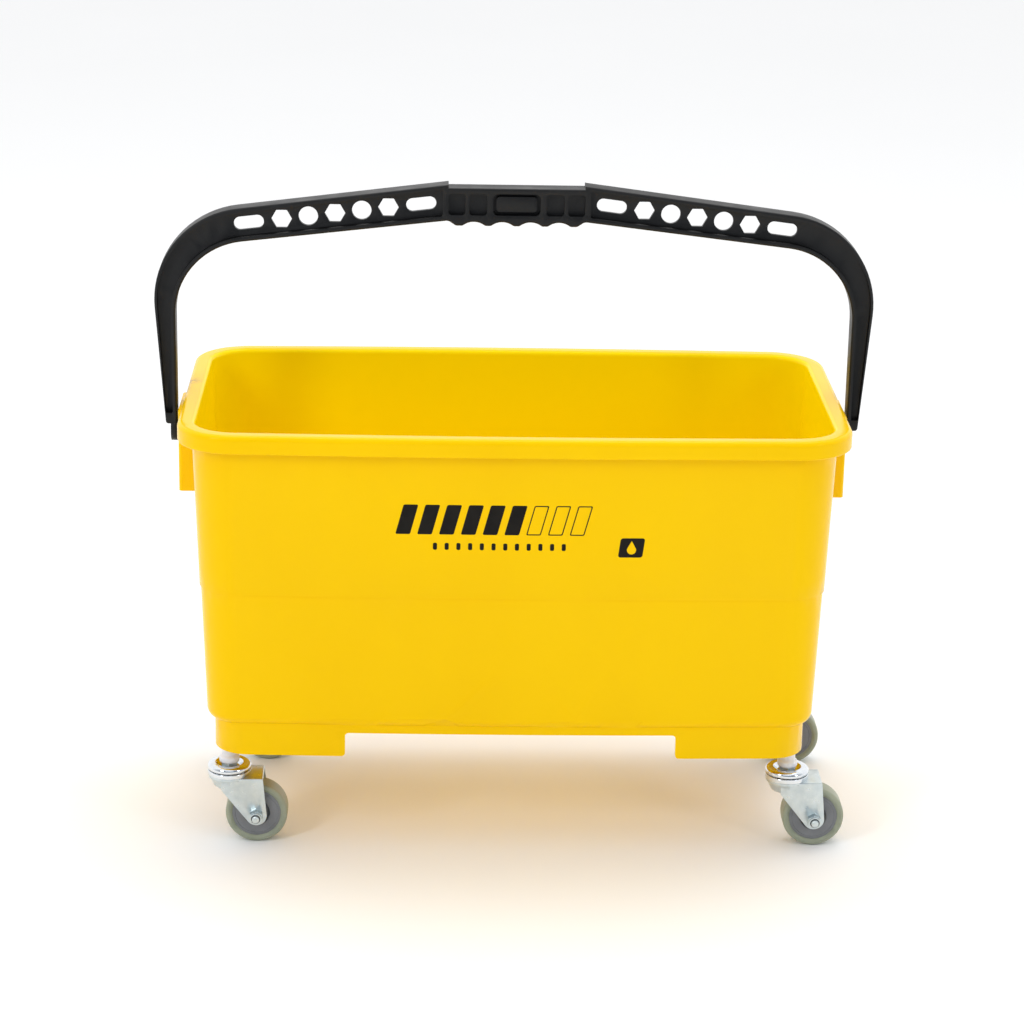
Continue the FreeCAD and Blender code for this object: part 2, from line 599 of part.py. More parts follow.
def add_lugs(body):
    """The hinge lug at the foot of each arm, with its shoulder and the stud that enters the ear."""
    for side, sign, backwards in (("Right", "", False), ("Left", "-", True)):
        disc = new_sketch(body, side + "LugDisc", "YZ_Plane", sign + "bail_inner")
        circle(disc, "0", "pivot_level", "lug_radius")
        feature(body, "Pad", disc, Length="lug_thick", Reversed=backwards)
        for name, radius, end in (("Shoulder", "shoulder_stud", "ear_reach + stud_gap"),
                                  ("Stud", "pivot_pin", "ear_reach - stud_length")):
            stud = new_sketch(body, side + name, "YZ_Plane", "%s(%s)" % (sign, end))
            circle(stud, "0", "pivot_level", radius)
            feature(body, "Pad", stud, Length="bail_inner + lug_thick / 2 - (%s)" % end, Reversed=backwards)


def turned(label, corners, plane="XZ_Plane"):
    """A body turned about its sketch's upright axis from an outline of (radius, height, round)."""
    body = new_body(label)
    profile = new_sketch(body, "Profile" + label, plane)
    outline(profile, corners)
    feature(body, "Revolution", profile, ReferenceAxis=(profile, ["V_Axis"]), Angle=360)
    return body


def place(thing, side_x, side_y, shift="0", height="0"):
    """Put a caster's piece at its corner of the bucket, moved along X by a shift."""
    bind(thing, Placement__Base__x="%d * caster_x + %s" % (side_x, shift),
         Placement__Base__y="%d * caster_y" % side_y, Placement__Base__z=height)


def make_sleeve(label):
    """The nylon sleeve that grips the stem in its socket, with a flared collar below."""
    return turned(label, (
        ("stem_bore", "sleeve_bottom", "0"),
        ("sleeve_collar", "sleeve_bottom", "collar_height / 3"),
        ("sleeve_collar", "sleeve_bottom + collar_height", "collar_height / 3"),
        ("sleeve_radius", "sleeve_bottom + 1.5 * collar_height", "0"),
        ("sleeve_radius", "sleeve_top", "0"),
        ("stem_bore", "sleeve_top", "0"),
    ))


def make_stem(label):
    """The stem and kingpin in one, with a hexagonal collar above the races and a riveted head below."""
    body = turned(label, (
        ("0", "head_bottom", "0"),
        ("head_radius", "head_bottom", "plate_thick / 2"),
        ("head_radius", "head_top", "0"),
        ("stem_radius", "head_top", "0"),
        ("stem_radius", "stem_top - stem_bevel", "0"),
        ("stem_radius - stem_bevel", "stem_top", "0"),
        ("0", "stem_top", "0"),
    ))
    collar = new_sketch(body, "Collar" + label, "XY_Plane", "hex_bottom")
    hexagon(collar, "hex_collar")
    feature(body, "Pad", collar, Length="sleeve_bottom - hex_bottom")
    return body


def hexagon(sketch, reach):
    """A regular hexagon round the sketch's origin, by the distance of its corners."""
    outline(sketch, tuple(("%s * cos(%d)" % (reach, turn), "%s * sin(%d)" % (reach, turn), "0")
                          for turn in range(30, 390, 60)))


def make_upper_race(label):
    """The pressed upper race: a dish under the stem's collar and a rounded ring over the balls."""
    return turned(label, (
        ("stem_bore", "hex_bottom - race_sheet", "0"),
        ("dish_radius + race_sheet", "hex_bottom - race_sheet", "0"),
        ("ring_inner + race_sheet", "race_top - race_sheet", "0"),
        ("race_radius - race_sheet", "race_top - race_sheet", "race_sheet / 2"),
        ("race_radius - race_sheet", "race_gap", "0"),
        ("race_radius", "race_gap", "0"),
        ("race_radius", "race_top", "2.5 * race_sheet"),
        ("ring_inner", "race_top", "race_sheet / 2"),
        ("dish_radius", "hex_bottom", "0"),
        ("stem_bore", "hex_bottom", "0"),
    ))


def make_lower_race(label):
    """The lower race, a ring on the fork's plate with a raised track for the balls."""
    return turned(label, (
        ("fork_bore", "plate_top", "0"),
        ("race_radius", "plate_top", "race_sheet / 2"),
        ("race_radius", "lower_race_top", "race_sheet / 2"),
        ("ball_circle + 1.4 * ball_radius", "lower_race_top", "0"),
        ("ball_circle + ball_radius", "track_top", "0"),
        ("ball_circle - ball_radius", "track_top", "0"),
        ("ball_circle - 1.4 * ball_radius", "lower_race_top", "0"),
        ("fork_bore", "lower_race_top", "0"),
    ))


def make_balls(label):
    """The ring of bearing balls on the lower race, as one group of separate solids."""
    balls = []
    for index in range(BALL_COUNT):
        ball = DOC.addObject("Part::Sphere", "%s_%d" % (label, index))
        turn = 360.0 * index / BALL_COUNT
        bind(ball, Radius="ball_radius", Placement__Base__x="ball_circle * cos(%g)" % turn,
             Placement__Base__y="ball_circle * sin(%g)" % turn,
             Placement__Base__z="track_top + ball_radius + ball_gap")
        balls.append(ball)
    group = sub_part(DOC.addObject("Part::Compound", label), label)
    group.Links = balls
    return group


def make_fork(label):
    """The pressed steel fork: a round plate, a flat bridge over the wheel, and two raked legs."""
    body = new_body(label)
    legs = new_sketch(body, "Legs" + label, "XZ_Plane", "-fork_half")
    outline(legs, (
        ("trail + bridge_reach", "plate_top", "plate_thick / 2"),
        ("-leg_start", "plate_top", "0"),
        ("-leg_start", "leg_shoulder", "plate_thick"),
        ("trail - leg_toe_front", "axle_level - leg_round", "leg_round"),
        ("trail + leg_toe_back", "axle_level - leg_round", "leg_round"),
    ))
    feature(body, "Pad", legs, Length="2 * fork_half")
    mouth = new_sketch(body, "Mouth" + label, "XY_Plane", "plate_top - plate_thick")
    box(mouth, "-2 * trail", "-(fork_half - plate_thick)", "3 * trail", "fork_half - plate_thick")
    feature(body, "Pocket", mouth, Length="plate_top")
    plate = new_sketch(body, "Plate" + label, "XY_Plane", "plate_top")
    circle(plate, "0", "0", "plate_radius")
    feature(body, "Pad", plate, Length="plate_thick", Reversed=True)
    skirt = new_sketch(body, "Skirt" + label, "XZ_Plane")
    outline(skirt, (
        ("-plate_radius", "plate_top - plate_thick / 2", "0"),
        ("-skirt_radius", "leg_shoulder", "0"),
        ("-(skirt_radius - plate_thick)", "leg_shoulder", "0"),
        ("-(plate_radius - plate_thick)", "plate_top - plate_thick / 2", "0"),
    ))
    feature(body, "Revolution", skirt, ReferenceAxis=(skirt, ["V_Axis"]), Angle=SKIRT_TURN, Midplane=True)
    bore = new_sketch(body, "KingpinBore" + label, "XY_Plane", "plate_top")
    circle(bore, "0", "0", "kingpin_bore")
    feature(body, "Pocket", bore, Length="2 * plate_thick")
    axle = new_sketch(body, "AxleBore" + label, "XZ_Plane", "-2 * fork_half")
    circle(axle, "trail", "axle_level", "axle_bore")
    feature(body, "Pocket", axle, Length="4 * fork_half", Reversed=True)
    return body


def make_bolt(label):
    """The hexagon-head axle bolt, its head behind the fork and its end in front."""
    body = new_body(label)
    shank = new_sketch(body, "Shank" + label, "XZ_Plane", "-fork_half")
    circle(shank, "0", "0", "axle_radius")
    feature(body, "Pad", shank, Length="2 * fork_half + nut_thick + bolt_end")
    head = new_sketch(body, "Head" + label, "XZ_Plane", "-fork_half")
    hexagon(head, "nut_half")
    feature(body, "Pad", head, Length="bolt_head", Reversed=True)
    tip = value("-(fork_half + nut_thick + bolt_end)")
    round_edges(body, "Tip" + label, "axle_radius / 5", lambda edge: edge.BoundBox.YMax < tip + 0.01, "Chamfer")
    return body


def make_nut(label):
    """The axle nut in front of the fork: a hexagon, then a round collar recessed for its locking insert."""
    body = new_body(label)
    blank = new_sketch(body, "Blank" + label, "XZ_Plane", "fork_half")
    hexagon(blank, "nut_half")
    circle(blank, "0", "0", "axle_bore")
    feature(body, "Pad", blank, Length="nut_hex")
    collar = new_sketch(body, "Collar" + label, "XZ_Plane", "fork_half + nut_hex")
    circle(collar, "0", "0", "nut_collar")
    circle(collar, "0", "0", "axle_bore")
    feature(body, "Pad", collar, Length="nut_thick - nut_hex")
    recess = new_sketch(body, "Recess" + label, "XZ_Plane", "fork_half + nut_thick")
    circle(recess, "0", "0", "nut_insert")
    feature(body, "Pocket", recess, Length="insert_depth")
    return body


def make_bush(label):
    """The steel bush between the fork's legs that the wheel turns on."""
    body = new_body(label)
    tube = new_sketch(body, "Tube" + label, "XZ_Plane", "-(fork_half - plate_thick)")
    circle(tube, "0", "0", "bush_radius")
    circle(tube, "0", "0", "axle_bore")
    feature(body, "Pad", tube, Length="2 * (fork_half - plate_thick)")
    return body


def make_hub(label):
    """The moulded wheel hub: a boss on the bush, a moat round it and a flat disc out to the tyre."""
    half = (
        ("hub_bore", "-boss_half", "0"),
        ("boss_radius", "-boss_half", "hub_edge"),
        ("boss_radius", "-moat_half", "0"),
        ("moat_radius", "-moat_half", "0"),
        ("moat_radius + hub_edge", "-hub_half", "hub_edge"),
        ("hub_radius", "-hub_half", "0"),
    )
    other = tuple((across, along.replace("-", ""), radius) for across, along, radius in reversed(half))
    return turned(label, half + other, "XY_Plane")


def make_tyre(label):
    """The soft tyre, flat on its tread with rounded shoulders."""
    return turned(label, (
        ("hub_radius", "-hub_half", "0"),
        ("hub_radius + tyre_bead", "-wheel_half", "hub_edge"),
        ("wheel_radius", "-wheel_half", "tyre_shoulder"),
        ("wheel_radius", "wheel_half", "tyre_shoulder"),
        ("hub_radius + tyre_bead", "wheel_half", "hub_edge"),
        ("hub_radius", "hub_half", "0"),
    ), "XY_Plane")


def make_caster(corner, side_x, side_y):
    """One whole swivel caster at a corner of the bucket, its wheel trailing towards +X."""
    for piece, make in (("socket_sleeve", make_sleeve), ("stem", make_stem), ("upper_race", make_upper_race),
                        ("lower_race", make_lower_race), ("fork", make_fork)):
        place(make("%s_%s" % (corner, piece)), side_x, side_y)
    place(make_balls(corner + "_bearing_balls"), side_x, side_y)
    for piece, make in (("axle_bolt", make_bolt), ("axle_nut", make_nut), ("axle_bush", make_bush),
                        ("wheel_hub", make_hub), ("wheel_tyre", make_tyre)):
        place(make("%s_%s" % (corner, piece)), side_x, side_y, "trail", "axle_level")


def write_parts():
    """Check every object and sub-part, then write each sub-part to its own STEP file."""
    DOC.recompute()
    failed = [item.Name for item in DOC.Objects if {"Invalid", "Error"} & set(item.State)]
    failed += [part.Label for part in SUB_PARTS if part.Shape.isNull() or not part.Shape.isValid()]
    if failed:
        raise ValueError("these objects failed: " + ", ".join(failed))
    os.makedirs("parts", exist_ok=True)
    for part in SUB_PARTS:
        part.Shape.exportStep("parts/%s.step" % part.Label)
        print("%-28s %9.2f cm3, %d solids" % (part.Label, part.Shape.Volume / 1000, len(part.Shape.Solids)))


def main():
    make_bucket()
    make_bail()
    for corner, side_x, side_y in CORNERS:
        make_caster(corner, side_x, side_y)
    write_parts()


if __name__ == "__main__":
    main()
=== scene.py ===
"""The wheeled bucket's looks: materials, printed mark, small moulded and turned details, and a studio."""

import json
import math

import bmesh
import bpy
from mathutils import Matrix, Vector
from mathutils.bvhtree import BVHTree


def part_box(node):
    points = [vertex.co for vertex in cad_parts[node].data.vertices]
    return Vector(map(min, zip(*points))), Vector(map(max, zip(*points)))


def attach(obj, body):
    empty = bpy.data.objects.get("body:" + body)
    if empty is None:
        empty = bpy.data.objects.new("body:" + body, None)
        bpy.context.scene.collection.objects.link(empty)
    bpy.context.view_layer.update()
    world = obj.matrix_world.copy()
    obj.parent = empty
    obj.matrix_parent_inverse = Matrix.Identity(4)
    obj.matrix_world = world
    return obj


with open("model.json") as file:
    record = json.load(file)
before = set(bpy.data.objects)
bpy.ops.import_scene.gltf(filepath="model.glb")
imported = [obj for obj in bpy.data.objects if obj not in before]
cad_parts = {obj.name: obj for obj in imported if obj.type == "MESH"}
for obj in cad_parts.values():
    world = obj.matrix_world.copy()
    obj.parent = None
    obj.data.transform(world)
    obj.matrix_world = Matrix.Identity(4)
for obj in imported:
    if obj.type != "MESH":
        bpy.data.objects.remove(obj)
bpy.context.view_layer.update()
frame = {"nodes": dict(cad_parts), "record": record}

MM = 0.001
CORNERS = ("front_left", "front_right", "rear_left", "rear_right")
BUCKET_LOW, BUCKET_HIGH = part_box("bucket")
NODES = frame["nodes"]
RIM_LEVEL = BUCKET_HIGH.z
# Centre of a painted shadow: the shade of the handle's left arm on the rim's top, painted as a dark patch.
RIM_ARM_SHADOW = (-0.262, 0.022, RIM_LEVEL)

# The printed mark. Its bars, dashes and tile are given by half their width and half their height.
INK_THICKNESS = 0.05 * MM
PRINT_START = -84 * MM
PRINT_LEVEL = RIM_LEVEL - 68 * MM
RULE_LEVEL = PRINT_LEVEL - 22 * MM
FULL_BARS = 6
OPEN_BARS = 3
BAR_PITCH = 16.9 * MM
BAR_WIDTH = 5.7 * MM
BAR_HALF = 12.2 * MM
BAR_LINE = 0.9 * MM
BAR_SLANT = 0.26
DASH_COUNT = 12
DASH_START = PRINT_START + 22 * MM
DASH_PITCH = 9.1 * MM
TILE_CENTRE = PRINT_START + 10.35 * BAR_PITCH

# Rim marks: places along X, depths below the rim's top, and a profile of (across, proud), all in mm.
RIM_MARK_PLACES = (-183, 183)
RIM_MARK_DEPTHS = (4.4, 6, 8, 10, 12, 13)
RIM_MARK_PROFILE = ((-0.45, -0.02), (-0.15, 0.1), (0.15, 0.1), (0.45, -0.02))

# Profiles of the turned caster details in mm. The insert's points are (radius, depth from the nut's end),
# and the others are (distance in from the outside radius, height above the face).
INSERT_PROFILE = ((3.05, 0.8), (3.05, 0.25), (3.3, 0.1), (3.6, 0.2), (3.78, 0.8))
TYRE_LINE_PROFILE = ((3.1, -0.05), (2.8, 0.12), (2.5, -0.08))
HUB_BEAD_PROFILE = ((2.6, -0.1), (2.0, 0.25), (1.4, -0.1))
HUB_FACE = 8.6 * MM


# ---------------------------------------------------------------- node helpers

def new_material(name):
    """A node material, returned with its node tree and its principled shader."""
    material = bpy.data.materials.new(name)
    material.use_nodes = True
    nodes = material.node_tree.nodes
    shader = next(node for node in nodes if node.type == "BSDF_PRINCIPLED")
    return material, material.node_tree, shader


def add_node(tree, kind, **settings):
    """A shader node with attributes and input values. Input names use _ for spaces."""
    node = tree.nodes.new("ShaderNode" + kind)
    for name, value in settings.items():
        if hasattr(node, name):
            setattr(node, name, value)
        else:
            node.inputs[name.replace("_", " ")].default_value = value
    return node


def object_point(tree, scale=(1, 1, 1)):
    """Object coordinates in metres, stretched by a scale."""
    place = add_node(tree, "TexCoord")
    mapping = add_node(tree, "Mapping")
    mapping.inputs["Scale"].default_value = scale
    tree.links.new(place.outputs["Object"], mapping.inputs["Vector"])
    return mapping.outputs["Vector"]


def noise(tree, size, detail=3.0, rough=0.5, stretch=(1, 1, 1)):
    """Noise whose grain is about size metres across."""
    node = add_node(tree, "TexNoise")
    node.inputs["Scale"].default_value = 1.0 / size
    node.inputs["Detail"].default_value = detail
    node.inputs["Roughness"].default_value = rough
    tree.links.new(object_point(tree, stretch), node.inputs["Vector"])
    return node.outputs["Fac"]


def ramp(tree, source, low, high, at=(0.0, 1.0)):
    """Map a value between two limits onto a range of numbers."""
    node = add_node(tree, "MapRange", clamp=True)
    node.inputs["From Min"].default_value = at[0]
    node.inputs["From Max"].default_value = at[1]
    node.inputs["To Min"].default_value = low
    node.inputs["To Max"].default_value = high
    tree.links.new(source, node.inputs["Value"])
    return node.outputs["Result"]


def mix(tree, amount, first, second):
    """Blend two colours by an amount. Each is a socket or an (r, g, b) value."""
    node = add_node(tree, "Mix", data_type="RGBA")
    inputs = [socket for socket in node.inputs if socket.type == "RGBA"]
    for socket, colour in zip(inputs, (first, second)):
        if isinstance(colour, tuple):
            socket.default_value = (*colour, 1.0)
        else:
            tree.links.new(colour, socket)
    tree.links.new(amount, node.inputs["Factor"])
    return next(socket for socket in node.outputs if socket.type == "RGBA")


def facing_in(tree, centre):
    """1 on surfaces that face a centre inside the bucket, 0 on those that face away from it."""
    place = add_node(tree, "TexCoord")
    towards = add_node(tree, "VectorMath", operation="SUBTRACT")
    towards.inputs[0].default_value = centre
    tree.links.new(place.outputs["Object"], towards.inputs[1])
    unit = add_node(tree, "VectorMath", operation="NORMALIZE")
    tree.links.new(towards.outputs["Vector"], unit.inputs[0])
    facing = add_node(tree, "VectorMath", operation="DOT_PRODUCT")
    tree.links.new(unit.outputs["Vector"], facing.inputs[0])
    tree.links.new(place.outputs["Normal"], facing.inputs[1])
    return ramp(tree, facing.outputs["Value"], 0.0, 1.0, (0.05, 0.3))


def painted_shadow_patch(tree, centre, reach):
    """A patchy mask for a painted shadow, strongest at a centre on the bucket and gone at reach metres from it."""
    place = add_node(tree, "TexCoord")
    away = add_node(tree, "VectorMath", operation="DISTANCE")
    away.inputs[1].default_value = centre
    tree.links.new(place.outputs["Object"], away.inputs[0])
    near = ramp(tree, away.outputs["Value"], 0.7, 0.0, (0.2 * reach, reach))
    broken = ramp(tree, noise(tree, 0.004, 5.0, 0.7), 0.0, 1.0, (0.4, 0.62))
    both = add_node(tree, "Math", operation="MULTIPLY")
    tree.links.new(near, both.inputs[0])
    tree.links.new(broken, both.inputs[1])
    return both.outputs["Value"]


def add_bump(tree, shader, *layers):
    """Chain bump layers of (height socket, distance in metres, strength) into a shader's normal."""
    normal = None
    for height, distance, strength in layers:
        node = add_node(tree, "Bump")
        node.inputs["Distance"].default_value = distance
        node.inputs["Strength"].default_value = strength
        tree.links.new(height, node.inputs["Height"])
        if normal:
            tree.links.new(normal, node.inputs["Normal"])
        normal = node.outputs["Normal"]
    tree.links.new(normal, shader.inputs["Normal"])


# ---------------------------------------------------------------- materials

def yellow_plastic():
    """Golden-yellow polypropylene: softly glossy with faint flow marks and paler scuffs, with painted light: a paler
    yellow painted on the inside walls for the brighter light there, and a painted shadow of the handle arm on the
    rim's left end.
    """
    material, tree, shader = new_material("yellow_plastic")
    flow = noise(tree, 0.10, 2.0, 0.5, (1, 1, 0.2))
    grain = noise(tree, 0.0016, 2.0)
    scuff = noise(tree, 0.02, 7.0, 0.7, (1, 1, 2.5))
    outside = mix(tree, ramp(tree, flow, 0.0, 1.0, (0.35, 0.65)), (0.955, 0.575, 0.0003), (0.975, 0.60, 0.0004))
    worn = mix(tree, ramp(tree, scuff, 0.0, 0.05, (0.66, 0.78)), outside, (0.97, 0.70, 0.08))
    # Painted light: surfaces that face into the tub get a paler yellow, standing in for the brighter light inside
    # the bucket.
    colour = mix(tree, facing_in(tree, (0.0, 0.0, 0.30)), worn, (0.975, 0.73, 0.0004))
    # Painted shadow: a dark brown patch on the rim's left end stands in for the handle arm's shadow.
    arm_shadow_colour = mix(tree, painted_shadow_patch(tree, RIM_ARM_SHADOW, 13 * MM), colour, (0.35, 0.19, 0.07))
    tree.links.new(arm_shadow_colour, shader.inputs["Base Color"])
    tree.links.new(ramp(tree, scuff, 0.19, 0.23, (0.4, 0.75)), shader.inputs["Roughness"])
    shader.inputs["Specular IOR Level"].default_value = 0.2
    shader.inputs["Specular Tint"].default_value = (1.0, 0.82, 0.3, 1.0)
    add_bump(tree, shader, (flow, 0.0003, 0.06), (grain, 0.000006, 0.12))
    return material


def black_plastic():
    """Black moulded plastic with a fine spark-eroded texture and slightly greyer patches."""
    material, tree, shader = new_material("black_plastic")
    grain = noise(tree, 0.0005, 2.0)
    patch = noise(tree, 0.015, 5.0, 0.6)
    uneven = ramp(tree, patch, 0.0, 1.0, (0.35, 0.7))
    base = mix(tree, uneven, (0.0042, 0.0044, 0.005), (0.008, 0.0083, 0.0092))
    tree.links.new(base, shader.inputs["Base Color"])
    tree.links.new(ramp(tree, patch, 0.36, 0.48, (0.3, 0.7)), shader.inputs["Roughness"])
    shader.inputs["Specular IOR Level"].default_value = 0.3
    add_bump(tree, shader, (grain, 0.00003, 0.5), (patch, 0.0002, 0.1))
    return material


def zinc(name, colour, dull, rough, streak):
    """Bright zinc plate: cool grey metal with soft mottling and fine rolling lines."""
    material, tree, shader = new_material(name)
    mottle = noise(tree, 0.006, 4.0, 0.6)
    lines = noise(tree, 0.0009, 2.0, 0.5, (0.12, 1, 1))
    tint = mix(tree, ramp(tree, mottle, 0.0, 1.0, (0.3, 0.7)), colour, dull)
    tree.links.new(tint, shader.inputs["Base Color"])
    shader.inputs["Metallic"].default_value = 1.0
    tree.links.new(ramp(tree, mottle, rough[0], rough[1], (0.3, 0.75)), shader.inputs["Roughness"])
    add_bump(tree, shader, (lines, 0.00002, streak), (mottle, 0.0001, 0.12))
    return material


def smooth_plastic(name, first, second, rough, grain_size, glow=0.0, gloss=0.4):
    """A plain moulded plastic or rubber, cloudy in colour and finely grained."""
    material, tree, shader = new_material(name)
    shader.inputs["Specular IOR Level"].default_value = gloss
    cloud = noise(tree, 0.012, 5.0, 0.6)
    grain = noise(tree, grain_size, 2.0)
    tree.links.new(mix(tree, ramp(tree, cloud, 0.0, 1.0, (0.35, 0.7)), first, second),
                   shader.inputs["Base Color"])
    tree.links.new(ramp(tree, cloud, rough[0], rough[1], (0.3, 0.7)), shader.inputs["Roughness"])
    shader.inputs["Subsurface Weight"].default_value = glow
    shader.inputs["Subsurface Radius"].default_value = (0.002, 0.002, 0.0016)
    shader.inputs["Subsurface Scale"].default_value = 1.0
    add_bump(tree, shader, (grain, 0.00004, 0.4), (cloud, 0.0003, 0.1))
    return material


MATERIALS = {
    "yellow_plastic": yellow_plastic(),
    "black_plastic": black_plastic(),
    "zinc_steel": zinc("zinc_steel", (0.66, 0.72, 0.73), (0.56, 0.63, 0.65), (0.26, 0.40), 0.35),
    "polished_steel": zinc("polished_steel", (0.78, 0.81, 0.84), (0.70, 0.74, 0.78), (0.08, 0.18), 0.15),
    "white_nylon": smooth_plastic("white_nylon", (0.82, 0.82, 0.86), (0.88, 0.88, 0.90), (0.3, 0.42), 0.001, 0.3),
    "grey_hub": smooth_plastic("grey_hub", (0.185, 0.19, 0.20), (0.225, 0.23, 0.24), (0.42, 0.58), 0.0008),
    "black_ink": smooth_plastic("black_ink", (0.008, 0.007, 0.006), (0.014, 0.012, 0.010), (0.35, 0.5), 0.0008,
                                gloss=0.1),
    "dark_nylon": smooth_plastic("dark_nylon", (0.03, 0.035, 0.045), (0.045, 0.05, 0.06), (0.4, 0.55), 0.0008),
    "grey_tyre": smooth_plastic("grey_tyre", (0.30, 0.325, 0.235), (0.35, 0.37, 0.275), (0.36, 0.5), 0.0008, 0.15),
}

# Edge rounding in mm, by how a node's name ends.
BEVELS = {"bucket": 0.7, "bail_handle": 0.65, "fork": 0.7, "socket_sleeve": 0.5, "axle_nut": 0.3}
FINE_BEVEL = 0.25


def finish_cad_nodes():
    """Give each CAD piece its material, and soften its sharp edges."""
    for entry in frame["record"]["subparts"]:
        piece = NODES[entry["node"]]
        piece.data.materials.clear()
        piece.data.materials.append(MATERIALS[entry["material_slot"]])
        kind = next((kind for kind in BEVELS if entry["node"].endswith(kind)), None)
        soften(piece, BEVELS.get(kind, FINE_BEVEL) * MM)


def soften(piece, width):
    """Weld the mesh's split corners, merge its flat facets and round its sharp edges."""
    weld = piece.modifiers.new("weld", "WELD")
    weld.merge_threshold = 0.002 * MM
    flat = piece.modifiers.new("flat", "DECIMATE")
    flat.decimate_type = "DISSOLVE"
    flat.angle_limit = math.radians(0.02)
    bevel = piece.modifiers.new("bevel", "BEVEL")
    bevel.width = width
    bevel.segments = 2
    bevel.limit_method = "ANGLE"
    bevel.angle_limit = math.radians(32)
    bevel.use_clamp_overlap = True
    bevel.harden_normals = True
    piece.data.shade_smooth()


# ---------------------------------------------------------------- modelled details

def mesh_from(form, name):
    """A mesh made from a bmesh, which is then freed."""
    mesh = bpy.data.meshes.new(name)
    form.to_mesh(mesh)
    form.free()
    return mesh


def make_piece(name, mesh, material, body):
    """Link a mesh as a piece of the object that rides on a CAD body."""
    piece = bpy.data.objects.new(name, mesh)
    bpy.context.scene.collection.objects.link(piece)
    mesh.materials.append(MATERIALS[material])
    mesh.shade_smooth()
    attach(piece, body)
    return piece


def ring_mesh(name, profile, turns, centre):
    """A closed ring turned from a profile of (radius, y) points about a line along Y through a centre."""
    form = bmesh.new()
    loops = []
    for step in range(turns):
        angle = 2 * math.pi * step / turns
        points = [Vector((radius * math.cos(angle), y, radius * math.sin(angle))) for radius, y in profile]
        loops.append([form.verts.new(point + Vector(centre)) for point in points])
    count = len(profile)
    for first, second in zip(loops, loops[1:] + loops[:1]):
        for index in range(count):
            after = (index + 1) % count
            form.faces.new((first[index], first[after], second[after], second[index]))
    bmesh.ops.recalc_face_normals(form, faces=form.faces)
    return mesh_from(form, name)


def wall_tree():
    """A search tree over the bucket's surface, to lay printed and moulded marks on it."""
    form = bmesh.new()
    form.from_mesh(NODES["bucket"].data)
    tree = BVHTree.FromBMesh(form)
    form.free()
    return tree


def printed_shape(name, outline, hole=None):
    """A thin printed shape on the front wall, from an outline of (x, z) points in metres.

    It is cut into narrow cells first, so that it follows the wall's bow.
    """
    form = bmesh.new()
    edges = []
    for loop in filter(None, (outline, hole)):
        verts = [form.verts.new((x, 0.0, z)) for x, z in loop]
        edges += [form.edges.new(pair) for pair in zip(verts, verts[1:] + verts[:1])]
    bmesh.ops.triangle_fill(form, edges=edges, use_beauty=True)
    cell = 4 * MM
    low = min(x for x, _ in outline)
    high = max(x for x, _ in outline)
    for cut in range(1, int((high - low) / cell) + 1):
        bmesh.ops.bisect_plane(form, geom=form.verts[:] + form.edges[:] + form.faces[:],
                               plane_co=(low + cut * cell, 0, 0), plane_no=(1, 0, 0))
    start = 2 * BUCKET_LOW.y
    for vert in form.verts:
        hit, _, _, _ = WALL.ray_cast(Vector((vert.co.x, start, vert.co.z)), Vector((0, 1, 0)))
        vert.co.y = hit.y - INK_THICKNESS
    bmesh.ops.recalc_face_normals(form, faces=form.faces)
    for face in form.faces:
        if face.normal.y > 0:
            face.normal_flip()
    return mesh_from(form, name)


def rounded(centre_x, centre_z, half_x, half_z, radius, slant=0.0):
    """The outline of a rounded rectangle, leaning by slant times its height."""
    points = []
    for sign_x, sign_z, start in ((1, 1, 0), (-1, 1, 90), (-1, -1, 180), (1, -1, 270)):
        for step in range(7):
            angle = math.radians(start + 15 * step)
            x = sign_x * (half_x - radius) + radius * math.cos(angle)
            z = sign_z * (half_z - radius) + radius * math.sin(angle)
            points.append((centre_x + x + slant * z, centre_z + z))
    return points


def drop(centre_x, centre_z, radius):
    """The outline of a water drop with its point at the top."""
    points = [(centre_x, centre_z + 2.1 * radius)]
    for step in range(21):
        angle = math.radians(150 + 12 * step)
        points.append((centre_x + radius * math.cos(angle), centre_z + radius * math.sin(angle)))
    return points


def make_print():
    """A plain printed mark on the front: slanted bars, a fine dotted rule and a water drop in a tile."""
    parts = []
    for index in range(FULL_BARS + OPEN_BARS):
        centre = PRINT_START + index * BAR_PITCH
        bar = rounded(centre, PRINT_LEVEL, BAR_WIDTH, BAR_HALF, 1.2 * MM, BAR_SLANT)
        inside = rounded(centre, PRINT_LEVEL, BAR_WIDTH - BAR_LINE, BAR_HALF - BAR_LINE, 0.7 * MM, BAR_SLANT)
        parts.append((bar, inside[::-1] if index >= FULL_BARS else None))
    for index in range(DASH_COUNT):
        dash = rounded(DASH_START + index * DASH_PITCH, RULE_LEVEL, 1.6 * MM, 2.9 * MM, 1.2 * MM)
        parts.append((dash, None))
    tile = rounded(TILE_CENTRE, RULE_LEVEL, 9.5 * MM, 8 * MM, 2 * MM, 0.12)
    parts.append((tile, drop(TILE_CENTRE, RULE_LEVEL - 1.8 * MM, 3.6 * MM)[::-1]))
    for index, (outline, hole) in enumerate(parts):
        name = "print_mark_%02d" % index
        make_piece(name, printed_shape(name, outline, hole), "black_ink", "bucket_body")


def rim_mark_mesh(x, side):
    """A fine raised line down the rim's skirt at an x, on the front (side -1) or the rear (side 1)."""
    form = bmesh.new()
    rows = []
    for depth in RIM_MARK_DEPTHS:
        z = RIM_LEVEL - depth * MM
        hit, _, _, _ = WALL.ray_cast(Vector((x, side * 0.4, z)), Vector((0, -side, 0)))
        rows.append([form.verts.new((x + shift * MM, hit.y + side * proud * MM, z))
                     for shift, proud in RIM_MARK_PROFILE])
    for first, second in zip(rows, rows[1:]):
        for column in range(len(RIM_MARK_PROFILE) - 1):
            form.faces.new((first[column], first[column + 1], second[column + 1], second[column]))
    bmesh.ops.recalc_face_normals(form, faces=form.faces)
    return mesh_from(form, "rim_mark")


